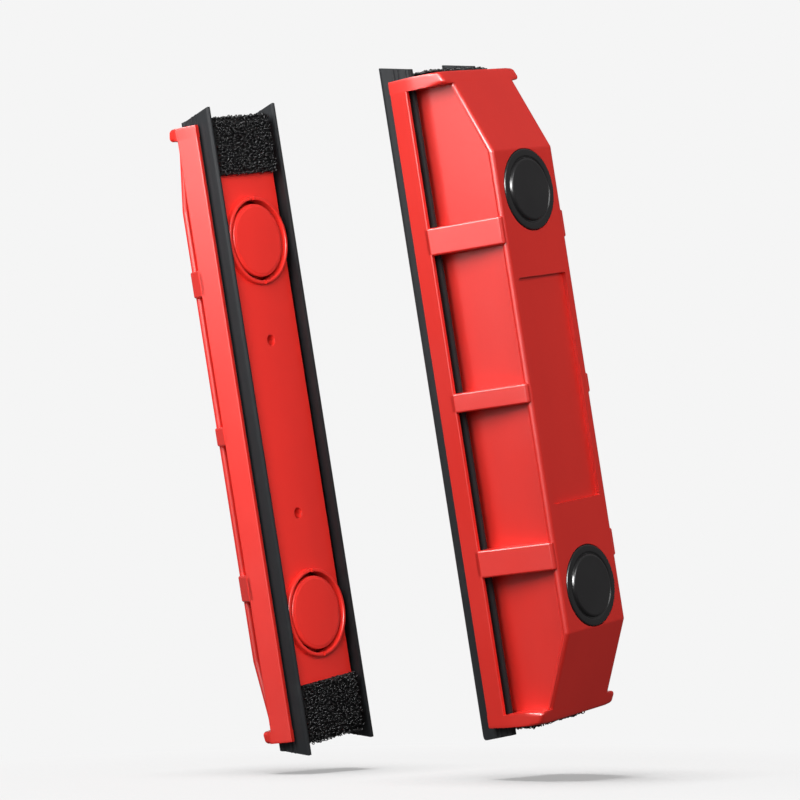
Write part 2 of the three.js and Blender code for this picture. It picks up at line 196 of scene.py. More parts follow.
def add_world():
    """White ambient light that is stronger from above than from below."""
    world = bpy.data.worlds.new("studio")
    bpy.context.scene.world = world
    world.use_nodes = True
    nodes, links = world.node_tree.nodes, world.node_tree.links
    place = nodes.new("ShaderNodeTexCoord")
    parts = nodes.new("ShaderNodeSeparateXYZ")
    links.new(place.outputs["Generated"], parts.inputs[0])
    rise = nodes.new("ShaderNodeMapRange")
    rise.interpolation_type = "SMOOTHSTEP"
    rise.inputs["From Min"].default_value = -AMBIENT_SPREAD
    rise.inputs["From Max"].default_value = AMBIENT_SPREAD
    rise.inputs["To Min"].default_value, rise.inputs["To Max"].default_value = AMBIENT
    links.new(parts.outputs["Z"], rise.inputs["Value"])
    links.new(rise.outputs["Result"], nodes["Background"].inputs["Strength"])
    nodes["Background"].inputs["Color"].default_value = (1, 1, 1, 1)


def grey(level):
    return (level, level, level, 1)


def empty_material(name):
    """A material with nothing in its node tree but the output."""
    material = bpy.data.materials.new(name)
    material.use_nodes = True
    nodes, links = material.node_tree.nodes, material.node_tree.links
    nodes.clear()
    surface = nodes.new("ShaderNodeOutputMaterial").inputs["Surface"]
    return material, nodes, links, surface


def emission(nodes, level):
    glow = nodes.new("ShaderNodeEmission")
    glow.inputs["Color"].default_value = grey(level)
    return glow.outputs[0]


def add_backdrop():
    """A plain pale sphere round everything, which only the camera sees."""
    mesh = bpy.data.meshes.new("backdrop")
    sphere = bmesh.new()
    bmesh.ops.create_uvsphere(sphere, u_segments=48, v_segments=24, radius=BACKDROP_RADIUS)
    sphere.to_mesh(mesh)
    sphere.free()
    backdrop = bpy.data.objects.new("backdrop", mesh)
    bpy.context.scene.collection.objects.link(backdrop)
    paper, nodes, links, surface = empty_material("backdrop_paper")
    links.new(emission(nodes, BACKGROUND), surface)
    mesh.materials.append(paper)
    backdrop.visible_diffuse = False
    backdrop.visible_glossy = False
    backdrop.visible_transmission = False
    backdrop.visible_shadow = False
    backdrop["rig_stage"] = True


def floor_material():
    """White paper in the middle that fades into the backdrop's own level at the rim."""
    material, nodes, links, surface = empty_material("floor_paper")
    place = nodes.new("ShaderNodeTexCoord")
    length = nodes.new("ShaderNodeVectorMath")
    length.operation = "LENGTH"
    links.new(place.outputs["Object"], length.inputs[0])
    fade = nodes.new("ShaderNodeMapRange")
    fade.interpolation_type = "SMOOTHSTEP"
    fade.inputs["From Min"].default_value, fade.inputs["From Max"].default_value = FLOOR_FADE
    links.new(length.outputs["Value"], fade.inputs["Value"])
    paper = nodes.new("ShaderNodeBsdfDiffuse")
    paper.inputs["Color"].default_value = grey(FLOOR_PAPER)
    near = nodes.new("ShaderNodeAddShader")
    links.new(paper.outputs[0], near.inputs[0])
    links.new(emission(nodes, FLOOR_GLOW), near.inputs[1])
    mix = nodes.new("ShaderNodeMixShader")
    links.new(fade.outputs["Result"], mix.inputs["Fac"])
    links.new(near.outputs[0], mix.inputs[1])
    links.new(emission(nodes, BACKGROUND), mix.inputs[2])
    links.new(mix.outputs[0], surface)
    return material


def add_floor():
    """A pale disc under the part that catches its shadow and that no reflection shows."""
    mesh = bpy.data.meshes.new("floor")
    disc = bmesh.new()
    bmesh.ops.create_circle(disc, cap_ends=True, segments=96, radius=FLOOR_RADIUS)
    disc.to_mesh(mesh)
    disc.free()
    floor = bpy.data.objects.new("floor", mesh)
    bpy.context.scene.collection.objects.link(floor)
    right, up, back = view_axes()
    normal = (up - right * math.tan(FLOOR_LEAN) - back * math.tan(FLOOR_PITCH)).normalized()
    floor.location = (cad_low + cad_high) / 2 - up * FLOOR_DROP
    floor.rotation_mode = "QUATERNION"
    floor.rotation_quaternion = normal.to_track_quat("Z", "Y")
    floor.visible_glossy = False
    floor.visible_diffuse = False
    mesh.materials.append(floor_material())
    floor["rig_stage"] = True
    return floor


# ---------------------------------------------------------------- material helpers


MIX_FIRST, MIX_SECOND, MIX_RESULT = 6, 7, 2  # the colour sockets of a Mix node
ROUGH_RANGE = 0.09  # how much rougher the red plastic gets from place to place


class Recipe:
    """A node material under construction: a Principled shader, object coordinates and wiring."""

    def __init__(self, name, roughness, metallic=0.0, specular=0.5):
        self.material = bpy.data.materials.new(name)
        self.material.use_nodes = True
        self.nodes = self.material.node_tree.nodes
        self.links = self.material.node_tree.links
        self.shader = self.nodes["Principled BSDF"]
        self.shader.inputs["Roughness"].default_value = roughness
        self.shader.inputs["Metallic"].default_value = metallic
        self.shader.inputs["Specular IOR Level"].default_value = specular
        self.place = self.nodes.new("ShaderNodeTexCoord").outputs["Object"]

    def stretched(self, scale):
        mapping = self.nodes.new("ShaderNodeMapping")
        mapping.inputs["Scale"].default_value = scale
        self.links.new(self.place, mapping.inputs["Vector"])
        return mapping.outputs["Vector"]

    def noise(self, scale, detail=4.0, roughness=0.5, vector=None):
        node = self.nodes.new("ShaderNodeTexNoise")
        node.inputs["Scale"].default_value = scale
        node.inputs["Detail"].default_value = detail
        node.inputs["Roughness"].default_value = roughness
        self.links.new(vector or self.place, node.inputs["Vector"])
        return node.outputs["Fac"]

    def voronoi(self, scale):
        node = self.nodes.new("ShaderNodeTexVoronoi")
        node.inputs["Scale"].default_value = scale
        self.links.new(self.place, node.inputs["Vector"])
        return node.outputs["Distance"]

    def ranged(self, value, low, high, to_low=0.0, to_high=1.0):
        node = self.nodes.new("ShaderNodeMapRange")
        node.interpolation_type = "SMOOTHSTEP"
        limits = {"From Min": low, "From Max": high, "To Min": to_low, "To Max": to_high}
        for socket, number in limits.items():
            node.inputs[socket].default_value = number
        self.links.new(value, node.inputs["Value"])
        return node.outputs["Result"]

    def maths(self, operation, first, second):
        node = self.nodes.new("ShaderNodeMath")
        node.operation = operation
        for socket, value in zip(node.inputs, (first, second)):
            if isinstance(value, (int, float)):
                socket.default_value = value
            else:
                self.links.new(value, socket)
        return node.outputs["Value"]

    def blend(self, factor, first, second):
        node = self.nodes.new("ShaderNodeMix")
        node.data_type = "RGBA"
        self.links.new(factor, node.inputs["Factor"])
        for index, value in ((MIX_FIRST, first), (MIX_SECOND, second)):
            if isinstance(value, tuple):
                node.inputs[index].default_value = (*value, 1)
            else:
                self.links.new(value, node.inputs[index])
        return node.outputs[MIX_RESULT]

    def convex_edges(self, low, high):
        """1 on convex edges and 0 on flats."""
        geometry = self.nodes.new("ShaderNodeNewGeometry")
        return self.ranged(geometry.outputs["Pointiness"], low, high)

    def colour(self, value):
        self.links.new(value, self.shader.inputs["Base Color"])

    def rough(self, value):
        self.links.new(value, self.shader.inputs["Roughness"])

    def bump(self, height, strength, distance):
        node = self.nodes.new("ShaderNodeBump")
        node.inputs["Strength"].default_value = strength
        node.inputs["Distance"].default_value = distance
        self.links.new(height, node.inputs["Height"])
        previous = self.shader.inputs["Normal"]
        if previous.is_linked:
            self.links.new(previous.links[0].from_socket, node.inputs["Normal"])
        self.links.new(node.outputs["Normal"], previous)


def red_plastic(name, base, deep, roughness):
    """Glossy moulded plastic: slow colour drift, flow marks and a faint orange peel."""
    recipe = Recipe(name, roughness)
    drift = recipe.noise(14, 3)
    flow = recipe.noise(22, 5, 0.6, recipe.stretched((1, 1, 0.12)))
    tone = recipe.maths("MULTIPLY", recipe.maths("ADD", drift, flow), 0.5)
    recipe.colour(recipe.blend(recipe.ranged(tone, 0.2, 0.8), base, deep))
    patch = recipe.noise(24, 2)
    recipe.rough(recipe.ranged(patch, 0.1, 0.9, roughness, roughness + ROUGH_RANGE))
    recipe.bump(recipe.noise(420, 2), 0.03, 0.0002)
    recipe.bump(recipe.noise(55, 2), 0.05, 0.0006)
    return recipe.material


def rubber():
    """Dull black rubber with fine lines along the blade and a trace of dust."""
    recipe = Recipe("rubber", 0.46, specular=0.16)
    grain = recipe.noise(2600, 3, 0.7)
    drawn = recipe.noise(600, 4, 0.6, recipe.stretched((1, 1, 0.01)))
    dust = recipe.ranged(recipe.noise(60, 5, 0.65), 0.5, 0.75)
    colour = recipe.blend(drawn, (0.020, 0.022, 0.024), (0.030, 0.032, 0.035))
    recipe.colour(recipe.blend(recipe.maths("MULTIPLY", dust, 0.3), colour, (0.045, 0.047, 0.050)))
    recipe.rough(recipe.ranged(dust, 0, 1, 0.42, 0.60))
    recipe.bump(grain, 0.25, 0.00004)
    recipe.bump(drawn, 0.5, 0.00008)
    return recipe.material


def cap_plastic():
    """Satin black plastic with a fine spark-eroded texture."""
    recipe = Recipe("cap_plastic", 0.3)
    grain = recipe.noise(2200, 2, 0.6)
    drift = recipe.noise(60, 3)
    colour = recipe.blend(drift, (0.014, 0.013, 0.014), (0.022, 0.021, 0.022))
    # The cap's colour turns lighter on its convex edges.
    recipe.colour(recipe.blend(recipe.convex_edges(0.54, 0.64), colour, (0.05, 0.05, 0.053)))
    recipe.rough(recipe.ranged(drift, 0.3, 0.7, 0.20, 0.265))
    recipe.bump(grain, 0.3, 0.00005)
    return recipe.material


def loop_yarn():
    """Black nylon yarn with a light sheen along its strands."""
    recipe = Recipe("loop_yarn", 0.4, specular=0.45)
    fibre = recipe.noise(1500, 3, 0.6)
    patch = recipe.noise(160, 3)
    colour = recipe.blend(fibre, (0.004, 0.004, 0.005), (0.013, 0.013, 0.014))
    recipe.colour(recipe.blend(recipe.maths("MULTIPLY", patch, 0.5), colour, (0.008, 0.008, 0.009)))
    recipe.rough(recipe.ranged(patch, 0.3, 0.7, 0.27, 0.42))
    recipe.bump(fibre, 0.4, 0.00006)
    return recipe.material


def pad_felt():
    recipe = Recipe("pad_felt", 0.9, specular=0.3)
    weave = recipe.noise(900, 4, 0.7)
    recipe.colour(recipe.blend(weave, (0.004, 0.004, 0.005), (0.018, 0.018, 0.019)))
    recipe.bump(weave, 0.8, 0.0003)
    return recipe.material


def tape_film():
    """Cream foam tape."""
    recipe = Recipe("tape_film", 0.7, specular=0.3)
    foam = recipe.voronoi(900)
    recipe.colour(recipe.blend(foam, (0.62, 0.60, 0.53), (0.78, 0.76, 0.69)))
    recipe.bump(foam, 0.4, 0.0001)
    return recipe.material


def nickel():
    recipe = Recipe("nickel", 0.18, metallic=1.0)
    drift = recipe.noise(120, 3)
    recipe.colour(recipe.blend(drift, (0.66, 0.66, 0.65), (0.76, 0.76, 0.75)))
    recipe.rough(recipe.ranged(drift, 0.3, 0.7, 0.14, 0.26))
    return recipe.material


def zinc():
    recipe = Recipe("zinc", 0.34, metallic=1.0)
    lines = recipe.noise(700, 4, 0.6, recipe.stretched((1, 0.05, 1)))
    recipe.colour(recipe.blend(lines, (0.40, 0.41, 0.42), (0.56, 0.57, 0.58)))
    recipe.rough(recipe.ranged(lines, 0.3, 0.7, 0.28, 0.44))
    recipe.bump(lines, 0.2, 0.00004)
    return recipe.material


# ---------------------------------------------------------------- mesh helpers
# Bodies are drawn in a half's own frame, in millimetres: x above the glass, y across, z along.


STRAIGHT = math.radians(89)  # a corner whose half angle is wider than this is no corner
FILLET_SHARE = 0.45  # the most that a fillet takes of a side's length
FLAT_AREA = 250.0  # a face as large as this, in mm2, is a true flat and isn't shaded smooth
SHARP_ANGLE = math.radians(38)  # edges that turn further than this stay sharp
ROUNDED_ANGLE = math.radians(40)  # edges that turn further than this are rounded off
SMALL_RADIUS = 0.15  # edge radius of the pieces that keep the CAD mesh


def filleted(outline, radius, steps=4):
    """Rounds the corners of a closed outline; radius is one number or one for each corner."""
    result = []
    for index, corner in enumerate(outline):
        corner = Vector(corner)
        wanted = radius[index] if isinstance(radius, (list, tuple)) else radius
        before = Vector(outline[index - 1]) - corner
        after = Vector(outline[(index + 1) % len(outline)]) - corner
        half = before.angle(after) / 2
        if wanted == 0 or half > STRAIGHT:
            result.append(tuple(corner))
            continue
        limit = FILLET_SHARE * min(before.length, after.length)
        reach = min(wanted / math.tan(half), limit)
        bend = reach * math.tan(half)
        inward = (before.normalized() + after.normalized()).normalized()
        centre = corner + inward * (bend / math.sin(half))
        start = corner + before.normalized() * reach - centre
        sweep = start.angle_signed(corner + after.normalized() * reach - centre)
        for step in range(steps + 1):
            turn = Matrix.Rotation(-sweep * step / steps, 2)
            result.append(tuple(centre + turn @ start))
    return result


def inset(outline, distance):
    """Moves every side of an outline inwards by a distance."""
    points = [Vector(point) for point in outline]
    count = len(points)
    area = sum(points[i - 1].x * points[i].y - points[i].x * points[i - 1].y for i in range(count))
    side = 1 if area > 0 else -1
    result = []
    for index, point in enumerate(points):
        along = (point - points[index - 1]).normalized()
        onward = (points[(index + 1) % count] - point).normalized()
        first = Vector((-along.y, along.x)) * side
        second = Vector((-onward.y, onward.x)) * side
        move = (first + second) / max(0.2, 1 + first.dot(second))
        result.append(tuple(point + move * distance))
    return result


def rim_steps(radius, steps):
    """Pairs of inset and rise along a rounded rim, from its flat face to its side."""
    turns = [math.pi / 2 * step / steps for step in range(steps + 1)]
    return [(radius * (1 - math.sin(turn)), radius * (1 - math.cos(turn))) for turn in turns]


class Bodies:
    """A mesh under construction: one or more closed bodies of one piece."""

    def __init__(self):
        self.mesh = bmesh.new()

    def loft(self, rings, wrapped=False):
        """Joins equal rings of points with four-sided faces and closes the two ends."""
        rows = [[self.mesh.verts.new(point) for point in ring] for ring in rings]
        count = len(rows[0])
        made = []
        onward = rows[1:] + rows[:1] if wrapped else rows[1:]
        for near, far in zip(rows, onward):
            for i in range(count):
                j = (i + 1) % count
                made.append(self.mesh.faces.new((near[i], near[j], far[j], far[i])))
        if not wrapped:
            made.append(self.mesh.faces.new(rows[0][::-1]))
            made.append(self.mesh.faces.new(rows[-1]))
        bmesh.ops.recalc_face_normals(self.mesh, faces=made)
        return self

    def prism(self, outline, low, high, axis, edge=0.0, steps=4):
        """An outline swept along an axis; both rims are rounded by the edge radius."""
        levels = rim_steps(edge, steps) if edge > 0 else [(0.0, 0.0)]
        stations = [(low + rise, back) for back, rise in levels]
        stations += [(high - rise, back) for back, rise in reversed(levels)]
        rings = []
        for place, back in stations:
            flat = inset(outline, back) if back > 1e-9 else outline
            order = {
                "x": lambda u, v: (place, u, v),
                "y": lambda u, v: (u, place, v),
                "z": lambda u, v: (u, v, place),
            }[axis]
            rings.append([order(u, v) for u, v in flat])
        return self.loft(rings)

    def turned(self, profile, z=0.0, sides=96, start=None, end=None):
        """A profile of (radius, x) points turned about a line along X at height z."""
        whole = start is None
        first, last = (0.0, 2 * math.pi) if whole else (start, end)
        steps = sides if whole else max(8, int(sides * (last - first) / (2 * math.pi)))
        rings = []
        for step in range(steps if whole else steps + 1):
            angle = first + (last - first) * step / steps
            ring = [(x, r * math.sin(angle), z + r * math.cos(angle)) for r, x in profile]
            rings.append(ring)
        return self.loft(rings, wrapped=whole)

    def clean(self):
        """Merges points that coincide."""
        bmesh.ops.remove_doubles(self.mesh, verts=self.mesh.verts, dist=1e-4)
        bmesh.ops.dissolve_degenerate(self.mesh, edges=self.mesh.edges, dist=1e-5)
        return self

    def carve(self, tools):
        """Cuts other bodies out of this one."""
        self.clean()
        tools.clean()
        body, cutter = self.loose("body"), tools.loose("cutter")
        boolean = body.modifiers.new("carve", "BOOLEAN")
        boolean.operation = "DIFFERENCE"
        boolean.solver = "EXACT"
        boolean.object = cutter
        graph = bpy.context.evaluated_depsgraph_get()
        carved = bpy.data.meshes.new_from_object(body.evaluated_get(graph))
        self.mesh = bmesh.new()
        self.mesh.from_mesh(carved)
        for thing in (body, cutter):
            bpy.data.objects.remove(thing)
        bpy.data.meshes.remove(carved)
        return self

    def soften(self, chosen, width):
        """Rounds the sharp edges that the test picks out."""
        edges = [
            edge
            for edge in self.mesh.edges
            if len(edge.link_faces) == 2
            and edge.calc_face_angle(0) > ROUNDED_ANGLE
            and chosen(*(vert.co for vert in edge.verts))
        ]
        bmesh.ops.bevel(
            self.mesh,
            geom=edges,
            offset=width,
            offset_type="OFFSET",
            segments=2,
            profile=0.5,
            affect="EDGES",
            clamp_overlap=True,
        )
        return self

    def add(self, other):
        """Takes in a copy of other bodies."""
        mesh = bpy.data.meshes.new("part")
        other.mesh.to_mesh(mesh)
        self.mesh.from_mesh(mesh)
        bpy.data.meshes.remove(mesh)
        return self

    def loose(self, name):
        """The bodies as an object of the scene, in millimetres."""
        mesh = bpy.data.meshes.new(name)
        self.mesh.to_mesh(mesh)
        thing = bpy.data.objects.new(name, mesh)
        bpy.context.scene.collection.objects.link(thing)
        return thing

    def piece(self, name, place, material):
        """The finished piece in metres, standing where its half stands."""
        self.clean()
        for face in self.mesh.faces:
            face.smooth = face.calc_area() < FLAT_AREA
        for edge in self.mesh.edges:
            if len(edge.link_faces) == 2 and edge.calc_face_angle(0) > SHARP_ANGLE:
                edge.smooth = False
        self.mesh.transform(place @ Matrix.Scale(MM, 4))
        mesh = bpy.data.meshes.new(name)
        self.mesh.to_mesh(mesh)
        mesh.materials.append(material)
        piece = bpy.data.objects.new(name, mesh)
        bpy.context.scene.collection.objects.link(piece)
        shading = piece.modifiers.new("even_shading", "WEIGHTED_NORMAL")
        shading.keep_sharp = True
        shading.weight = 90
        return piece


def stand_in(bodies, node, half, material):
    """Puts a finer visible piece in a CAD node's place."""
    piece = bodies.piece(f"{node}_moulded", half.place, material)
    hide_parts(node)
    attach(piece, frame["nodes"][node]["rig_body"])
    return piece


# ---------------------------------------------------------------- the two halves' sizes


SLOPE_FOOT = {"grip": 37.0, "slim": 22.4}  # height of the sloped ends at the end walls
CAP_CROWN = 0.7  # how far a cap's centre stands above its ring


class Half:
    """Sizes of one half, read from the CAD boxes of its own pieces."""

    def __init__(self, name):
        self.name = name
        blade_low, blade_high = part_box(f"{name}_blade_left")
        turned = abs(blade_low.x) > abs(blade_high.x)
        spin = Matrix.Rotation(math.pi if turned else 0.0, 4, "Z")
        front = blade_high.x if turned else blade_low.x
        self.place = Matrix.Translation((front, 0, 0)) @ spin
        self.height = self.own("shell")[1].x
        self.end = self.own("shell")[1].z
        cap = self.own("cap_top")
        self.well_z = (cap[0].z + cap[1].z) / 2
        self.cap_face = cap[1].x - CAP_CROWN
        screw = self.own("screw_upper")
        self.screw_z = (screw[0].z + screw[1].z) / 2
        self.blade_y = abs(self.own("blade_right")[0].y + self.own("blade_right")[1].y) / 2
        self.slope_foot = SLOPE_FOOT[name]
        self.foot_z = self.end - END_WALL + 0.5
        self.slope = (self.height - self.slope_foot) / (self.foot_z - SLOPE_START)

    def crest_at(self, z):
        """Height of the sloped outer face over a place near the upper end."""
        return self.slope_foot - self.slope * (z - self.foot_z)

    def own(self, piece):
        """A piece's box in the half's own millimetres."""
        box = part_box(f"{self.name}_{piece}")
        corners = [self.place.inverted() @ Vector(corner) / MM for corner in box]
        low = Vector([min(corner[axis] for corner in corners) for axis in range(3)])
        high = Vector([max(corner[axis] for corner in corners) for axis in range(3)])
        return low, high


# ---------------------------------------------------------------- shell

BOX_HALF_WIDTH = 19.4
PLATE_HALF_WIDTH = 21.9
PLATE_EDGE = 3.4
SLOPE_START = 103.0
PLATE_EDGE_FOOT = 2.6  # the plate's edge is thinner at the foot of the slope
PLATE_ROUND = 1.8  # radius of the plate's long edges
PLATE_BEND = 2.5  # radius of the crease where the slope starts
BOX_FRONT = 7.0
BOX_JOIN = BOX_HALF_WIDTH - 1  # lips and ribs start inside the box's wall
END_WALL = 5.5
END_HALF_WIDTH = 27.5
END_RIM = 1.8
END_TIP = 2.2  # radius of the end walls' outer corners
END_STEPS = 5
END_CHANNEL = 17.5  # how deep the blade's channel cuts into an end wall
END_BELOW = 0.02  # how far the end walls' tops stay below the plate
END_BLEND = 3.0  # width of the bands over which the rims' rounding changes
INNER_FADE = 8  # how steeply the inner rim's rounding fades from the crest to the rail
OUTER_FADE = 16  # and the outer rim's
OUTER_LEAST = 0.12  # the least share of its rounding that the outer rim keeps
CREST_LEAST = 0.2  # and over the middle of its crest
RAIL_FOOT = Vector((6.5, 26.7))
RAIL_HEAD = Vector((16.8, 28.6))
RAIL_THICKNESS = 2.0
LIP = (11.3, 12.9)  # front and back of the lips that hold the beads
LIP_GAP = 1.35  # half of the gap between the lips
RIBS = ((-69.5, 11.8), (0.0, 8.3), (69.5, 11.8))
RIB_PROUD = 1.6
RIB_SUNK = 0.5  # below the outer plate
RIB_ROUND = 0.8
RECESS = (48.5, 17.0, 1.9)  # half length, half width, depth
RECESS_CORNER = 0.6
CAP_SEAT = (17.75, 2.2)  # radius, depth
SEAT_EDGE = 0.35  # radius of the edges round the recess and the seats
WELL = (16.2, 18.7, 10.0)  # inner radius, outer radius, front
SCREW_POST = (1.6, 4.2, 14.3)  # inner radius, outer radius, front
HOLLOW_HALF_WIDTH = 17.2


def both_sides(outline):
    """An outline of (x, y) points and its mirror image across the half."""
    return [outline, [(x, -y) for x, y in reversed(outline)]]


def outer_line(half, depth, foot_depth=None):
    """The outer face's centre line as (x, z) points, sunk by a depth."""
    foot_depth = depth if foot_depth is None else foot_depth
    drop = foot_depth * (math.hypot(1, half.slope) - 1)
    foot = half.slope_foot - foot_depth - drop
    upper = [(half.height - depth, SLOPE_START), (foot, half.foot_z)]
    return [(x, -z) for x, z in reversed(upper)] + upper


def shell_plate(half):
    """The outer plate with its blank recess and the seats for the caps."""
    outline = outer_line(half, 0) + outer_line(half, PLATE_EDGE, PLATE_EDGE_FOOT)[::-1]
    outline = filleted(outline, [0, PLATE_BEND, PLATE_BEND, 0, 0, PLATE_BEND, PLATE_BEND, 0])
    plate = Bodies()
    plate.prism(outline, -PLATE_HALF_WIDTH, PLATE_HALF_WIDTH, "y", edge=PLATE_ROUND, steps=6)
    length, width, depth = RECESS
    recess = [(-width, -length), (width, -length), (width, length), (-width, length)]
    recess = filleted(recess, RECESS_CORNER, 3)
    tools = Bodies().prism(recess, half.height - depth, half.height + 1, "x")
    seat_radius, seat_depth = CAP_SEAT
    floor, above = half.height - seat_depth, half.height + 1
    seat = [(0, floor), (seat_radius, floor), (seat_radius, above), (0, above)]
    for z in (half.well_z, -half.well_z):
        tools.turned(seat, z)
    plate.carve(tools)

    def on_rim(a, b):
        inside = max(abs(a.y), abs(b.y)) < PLATE_HALF_WIDTH - 1.5
        return inside and min(a.x, b.x) > half.height - 0.02

    return plate.soften(on_rim, SEAT_EDGE)


def shell_box(half):
    """The long box between the side panels, hollow and open towards the glass."""
    outer = outer_line(half, PLATE_EDGE - 0.6, PLATE_EDGE_FOOT - 0.4)
    foot = half.foot_z
    outline = [(BOX_FRONT, foot), (BOX_FRONT, -foot), (outer[0][0], -foot)]
    outline += [*outer[1:3], (outer[3][0], foot)]
    box = Bodies().prism(outline, -BOX_HALF_WIDTH, BOX_HALF_WIDTH, "y")
    inner = outer_line(half, PLATE_EDGE - 0.2)
    reach = half.end - END_WALL
    room = [(0, reach), (0, -reach), (inner[0][0], -reach), *inner[1:3], (inner[3][0], reach)]
    tools = Bodies().prism(room, -HOLLOW_HALF_WIDTH, HOLLOW_HALF_WIDTH, "y")
    return box.carve(tools)


def rail_inner(x):
    """How far out the rail's inner face is, at a height above the glass."""
    lean = (RAIL_HEAD.y - RAIL_FOOT.y) / (RAIL_HEAD.x - RAIL_FOOT.x)
    return RAIL_FOOT.y + lean * (x - RAIL_FOOT.x) - RAIL_THICKNESS


def shell_rails(half):
    """The flange rails beside the blades, with the lips that hold the blades by their beads."""
    rails = Bodies()
    near, far = LIP
    outline = [
        tuple(RAIL_FOOT),
        tuple(RAIL_HEAD),
        (RAIL_HEAD.x, rail_inner(RAIL_HEAD.x)),
        (far, rail_inner(far)),
        (far, half.blade_y + LIP_GAP),
        (near, half.blade_y + LIP_GAP),
        (near, rail_inner(near)),
        (RAIL_FOOT.x, rail_inner(RAIL_FOOT.x)),
    ]
    outline = filleted(outline, [0.6, 0.45, 0.4, 0, 0.3, 0.3, 0, 0.4])
    lip = [
        (near, BOX_JOIN),
        (near, half.blade_y - LIP_GAP),
        (far, half.blade_y - LIP_GAP),
        (far, BOX_JOIN),
    ]
    reach = half.end - END_WALL
    for shape in both_sides(outline) + both_sides(filleted(lip, [0, 0.3, 0.3, 0])):
        rails.prism(shape, -reach, reach, "z")
    return rails


def shell_ribs(half):
    """The ribs that cross each side panel, from the outer plate to the rail."""
    ribs = Bodies()
    head = half.height - RIB_SUNK
    foot = RAIL_HEAD.x - 2
    outline = [
        (foot, BOX_JOIN),
        (foot, rail_inner(foot) + RAIL_THICKNESS),
        tuple(RAIL_HEAD),
        (head - 0.9, PLATE_HALF_WIDTH + RIB_PROUD),
        (head, PLATE_HALF_WIDTH + RIB_PROUD - 1),
        (head, BOX_JOIN),
    ]
    outline = filleted(outline, [0, 0, RIB_ROUND, RIB_ROUND, RIB_ROUND, 0])
    for z, width in RIBS:
        for shape in both_sides(outline):
            ribs.prism(shape, z - width / 2, z + width / 2, "z", edge=RIB_ROUND)
    return ribs


def end_outline(top):
    """An end wall's outline: the blades' channels, the rails' slope and the outer corners."""
    corner = Vector((top, END_HALF_WIDTH))
    inner_foot = (RAIL_FOOT.x, rail_inner(RAIL_FOOT.x))
    upper = [(BOX_FRONT, BOX_HALF_WIDTH), (END_CHANNEL, BOX_HALF_WIDTH)]
    upper += [(END_CHANNEL, rail_inner(END_CHANNEL)), inner_foot, tuple(RAIL_FOOT)]
    upper += [tuple(RAIL_HEAD.lerp(corner, share)) for share in (0, 0.3, 0.5, 0.65, 0.8)]
    upper += [tuple(corner), (top, PLATE_HALF_WIDTH), (top, 0.0)]
    line = [(x, -y) for x, y in upper[:-1]] + upper[::-1]
    radii = [END_TIP if (x, abs(y)) == tuple(corner) else 0 for x, y in line]
    return filleted(line, radii, 6)


def end_levels(inner, outer):
    """Pairs of inset and z for the rounded rims; the inner rim's insets are negative."""
    rim = rim_steps(END_RIM, END_STEPS)
    levels = [(-back, inner + rise) for back, rise in rim]
    return levels + [(rise, outer - back) for back, rise in rim[1:]]


def clamped(share):
    return min(1.0, max(0.0, share))


def shell_ends(half):
    """Both end walls, wider than the outer plate and flush with its slope.

    Only the outer corners get the full rim radius: it fades out towards the rails, and over the
    middle of the crest, where the wall meets the plate.
    """
    ends = Bodies()
    inner = half.end - END_WALL
    crest = half.crest_at(inner)
    outline = end_outline(crest - END_BELOW)
    low_edge = RAIL_HEAD.x + 1
    for side in (1, -1):
        rings = []
        for back, z in end_levels(inner, half.end):
            sunk = crest - half.crest_at(z)
            ring = []
            for point, moved in zip(outline, inset(outline, abs(back) + 1e-6)):
                share = clamped((point[0] - low_edge) / (crest - END_BLEND - low_edge))
                tip = clamped((abs(point[1]) - PLATE_HALF_WIDTH) / END_BLEND)
                pull = share**INNER_FADE if back < 0 else max(share**OUTER_FADE, OUTER_LEAST)
                drop = max(tip, CREST_LEAST if back > 0 else 0)
                x = point[0] + (moved[0] - point[0]) * pull * drop
                y = point[1] + (moved[1] - point[1]) * pull
                ring.append((x - sunk * share, y, side * z))
            rings.append(ring)
        ends.loft(rings)
    return ends


def shell_tubes(half):
    """The tubes that hold the magnets, and the posts for the screws."""
    tubes = Bodies()
    roof = half.height - PLATE_EDGE + 0.3
    for (inner, outer, front), place, sides in (
        (WELL, half.well_z, 64),
        (SCREW_POST, half.screw_z, 40),
    ):
        for z in (place, -place):
            profile = [(inner, front), (outer, front), (outer, roof), (inner, roof)]
            tubes.turned(profile, z, sides)
    return tubes


# ---------------------------------------------------------------- face plate, covers and caps

PLATE_FRONT = 4.5
PLATE_BACK = 6.7
FACE_HALF_WIDTH = 20.1
FACE_END_GAP = 0.3  # between the plate's end and the shell's
PLATE_RIM = 0.5
CUT_BACK = 9.0  # how deep the round holes behind the covers are cut
COLLAR = (18.4, 20.1, 2.1, 0.85)  # inner radius, outer radius, front, half of the slit
SLIT_REACH = (17.6, 19.8)  # the slit's near and far end, from the middle of the collar
SLIT_BACK = 6.2
SOCKET = (2.5, 4.2, 14.0, 12.0)  # bore, boss radius, boss back, screw seat
SCREW_HOLE = 1.55
COVER_PROFILE = [(0, 2.5), (15.0, 2.5), (15.25, 2.53), (15.45, 2.68)]  # radius, x
COVER_PROFILE += [(15.7, 2.74), (16.1, 2.76), (16.45, 2.86), (16.65, 3.1), (16.7, 3.45)]
COVER_PROFILE += [(16.7, 4.2), (0, 4.2)]
CAP_TOP = [(0, CAP_CROWN), (12.3, CAP_CROWN)]  # radius, height above the cap's ring
CAP_TOP += [(12.75, 0.64), (13.05, 0.46), (13.35, 0.1), (13.45, -0.35), (13.6, -0.5)]
CAP_TOP += [(14.0, -0.5), (14.2, -0.36), (14.45, -0.08), (14.8, 0), (16.75, 0)]
CAP_TOP += [(17.1, -0.08), (17.35, -0.3), (17.45, -0.7), (17.45, -2.4), (15.9, -2.4)]
CAP_SKIRT = 14.1  # inner radius of the cap's skirt
CAP_UNDERSIDE = -2.8


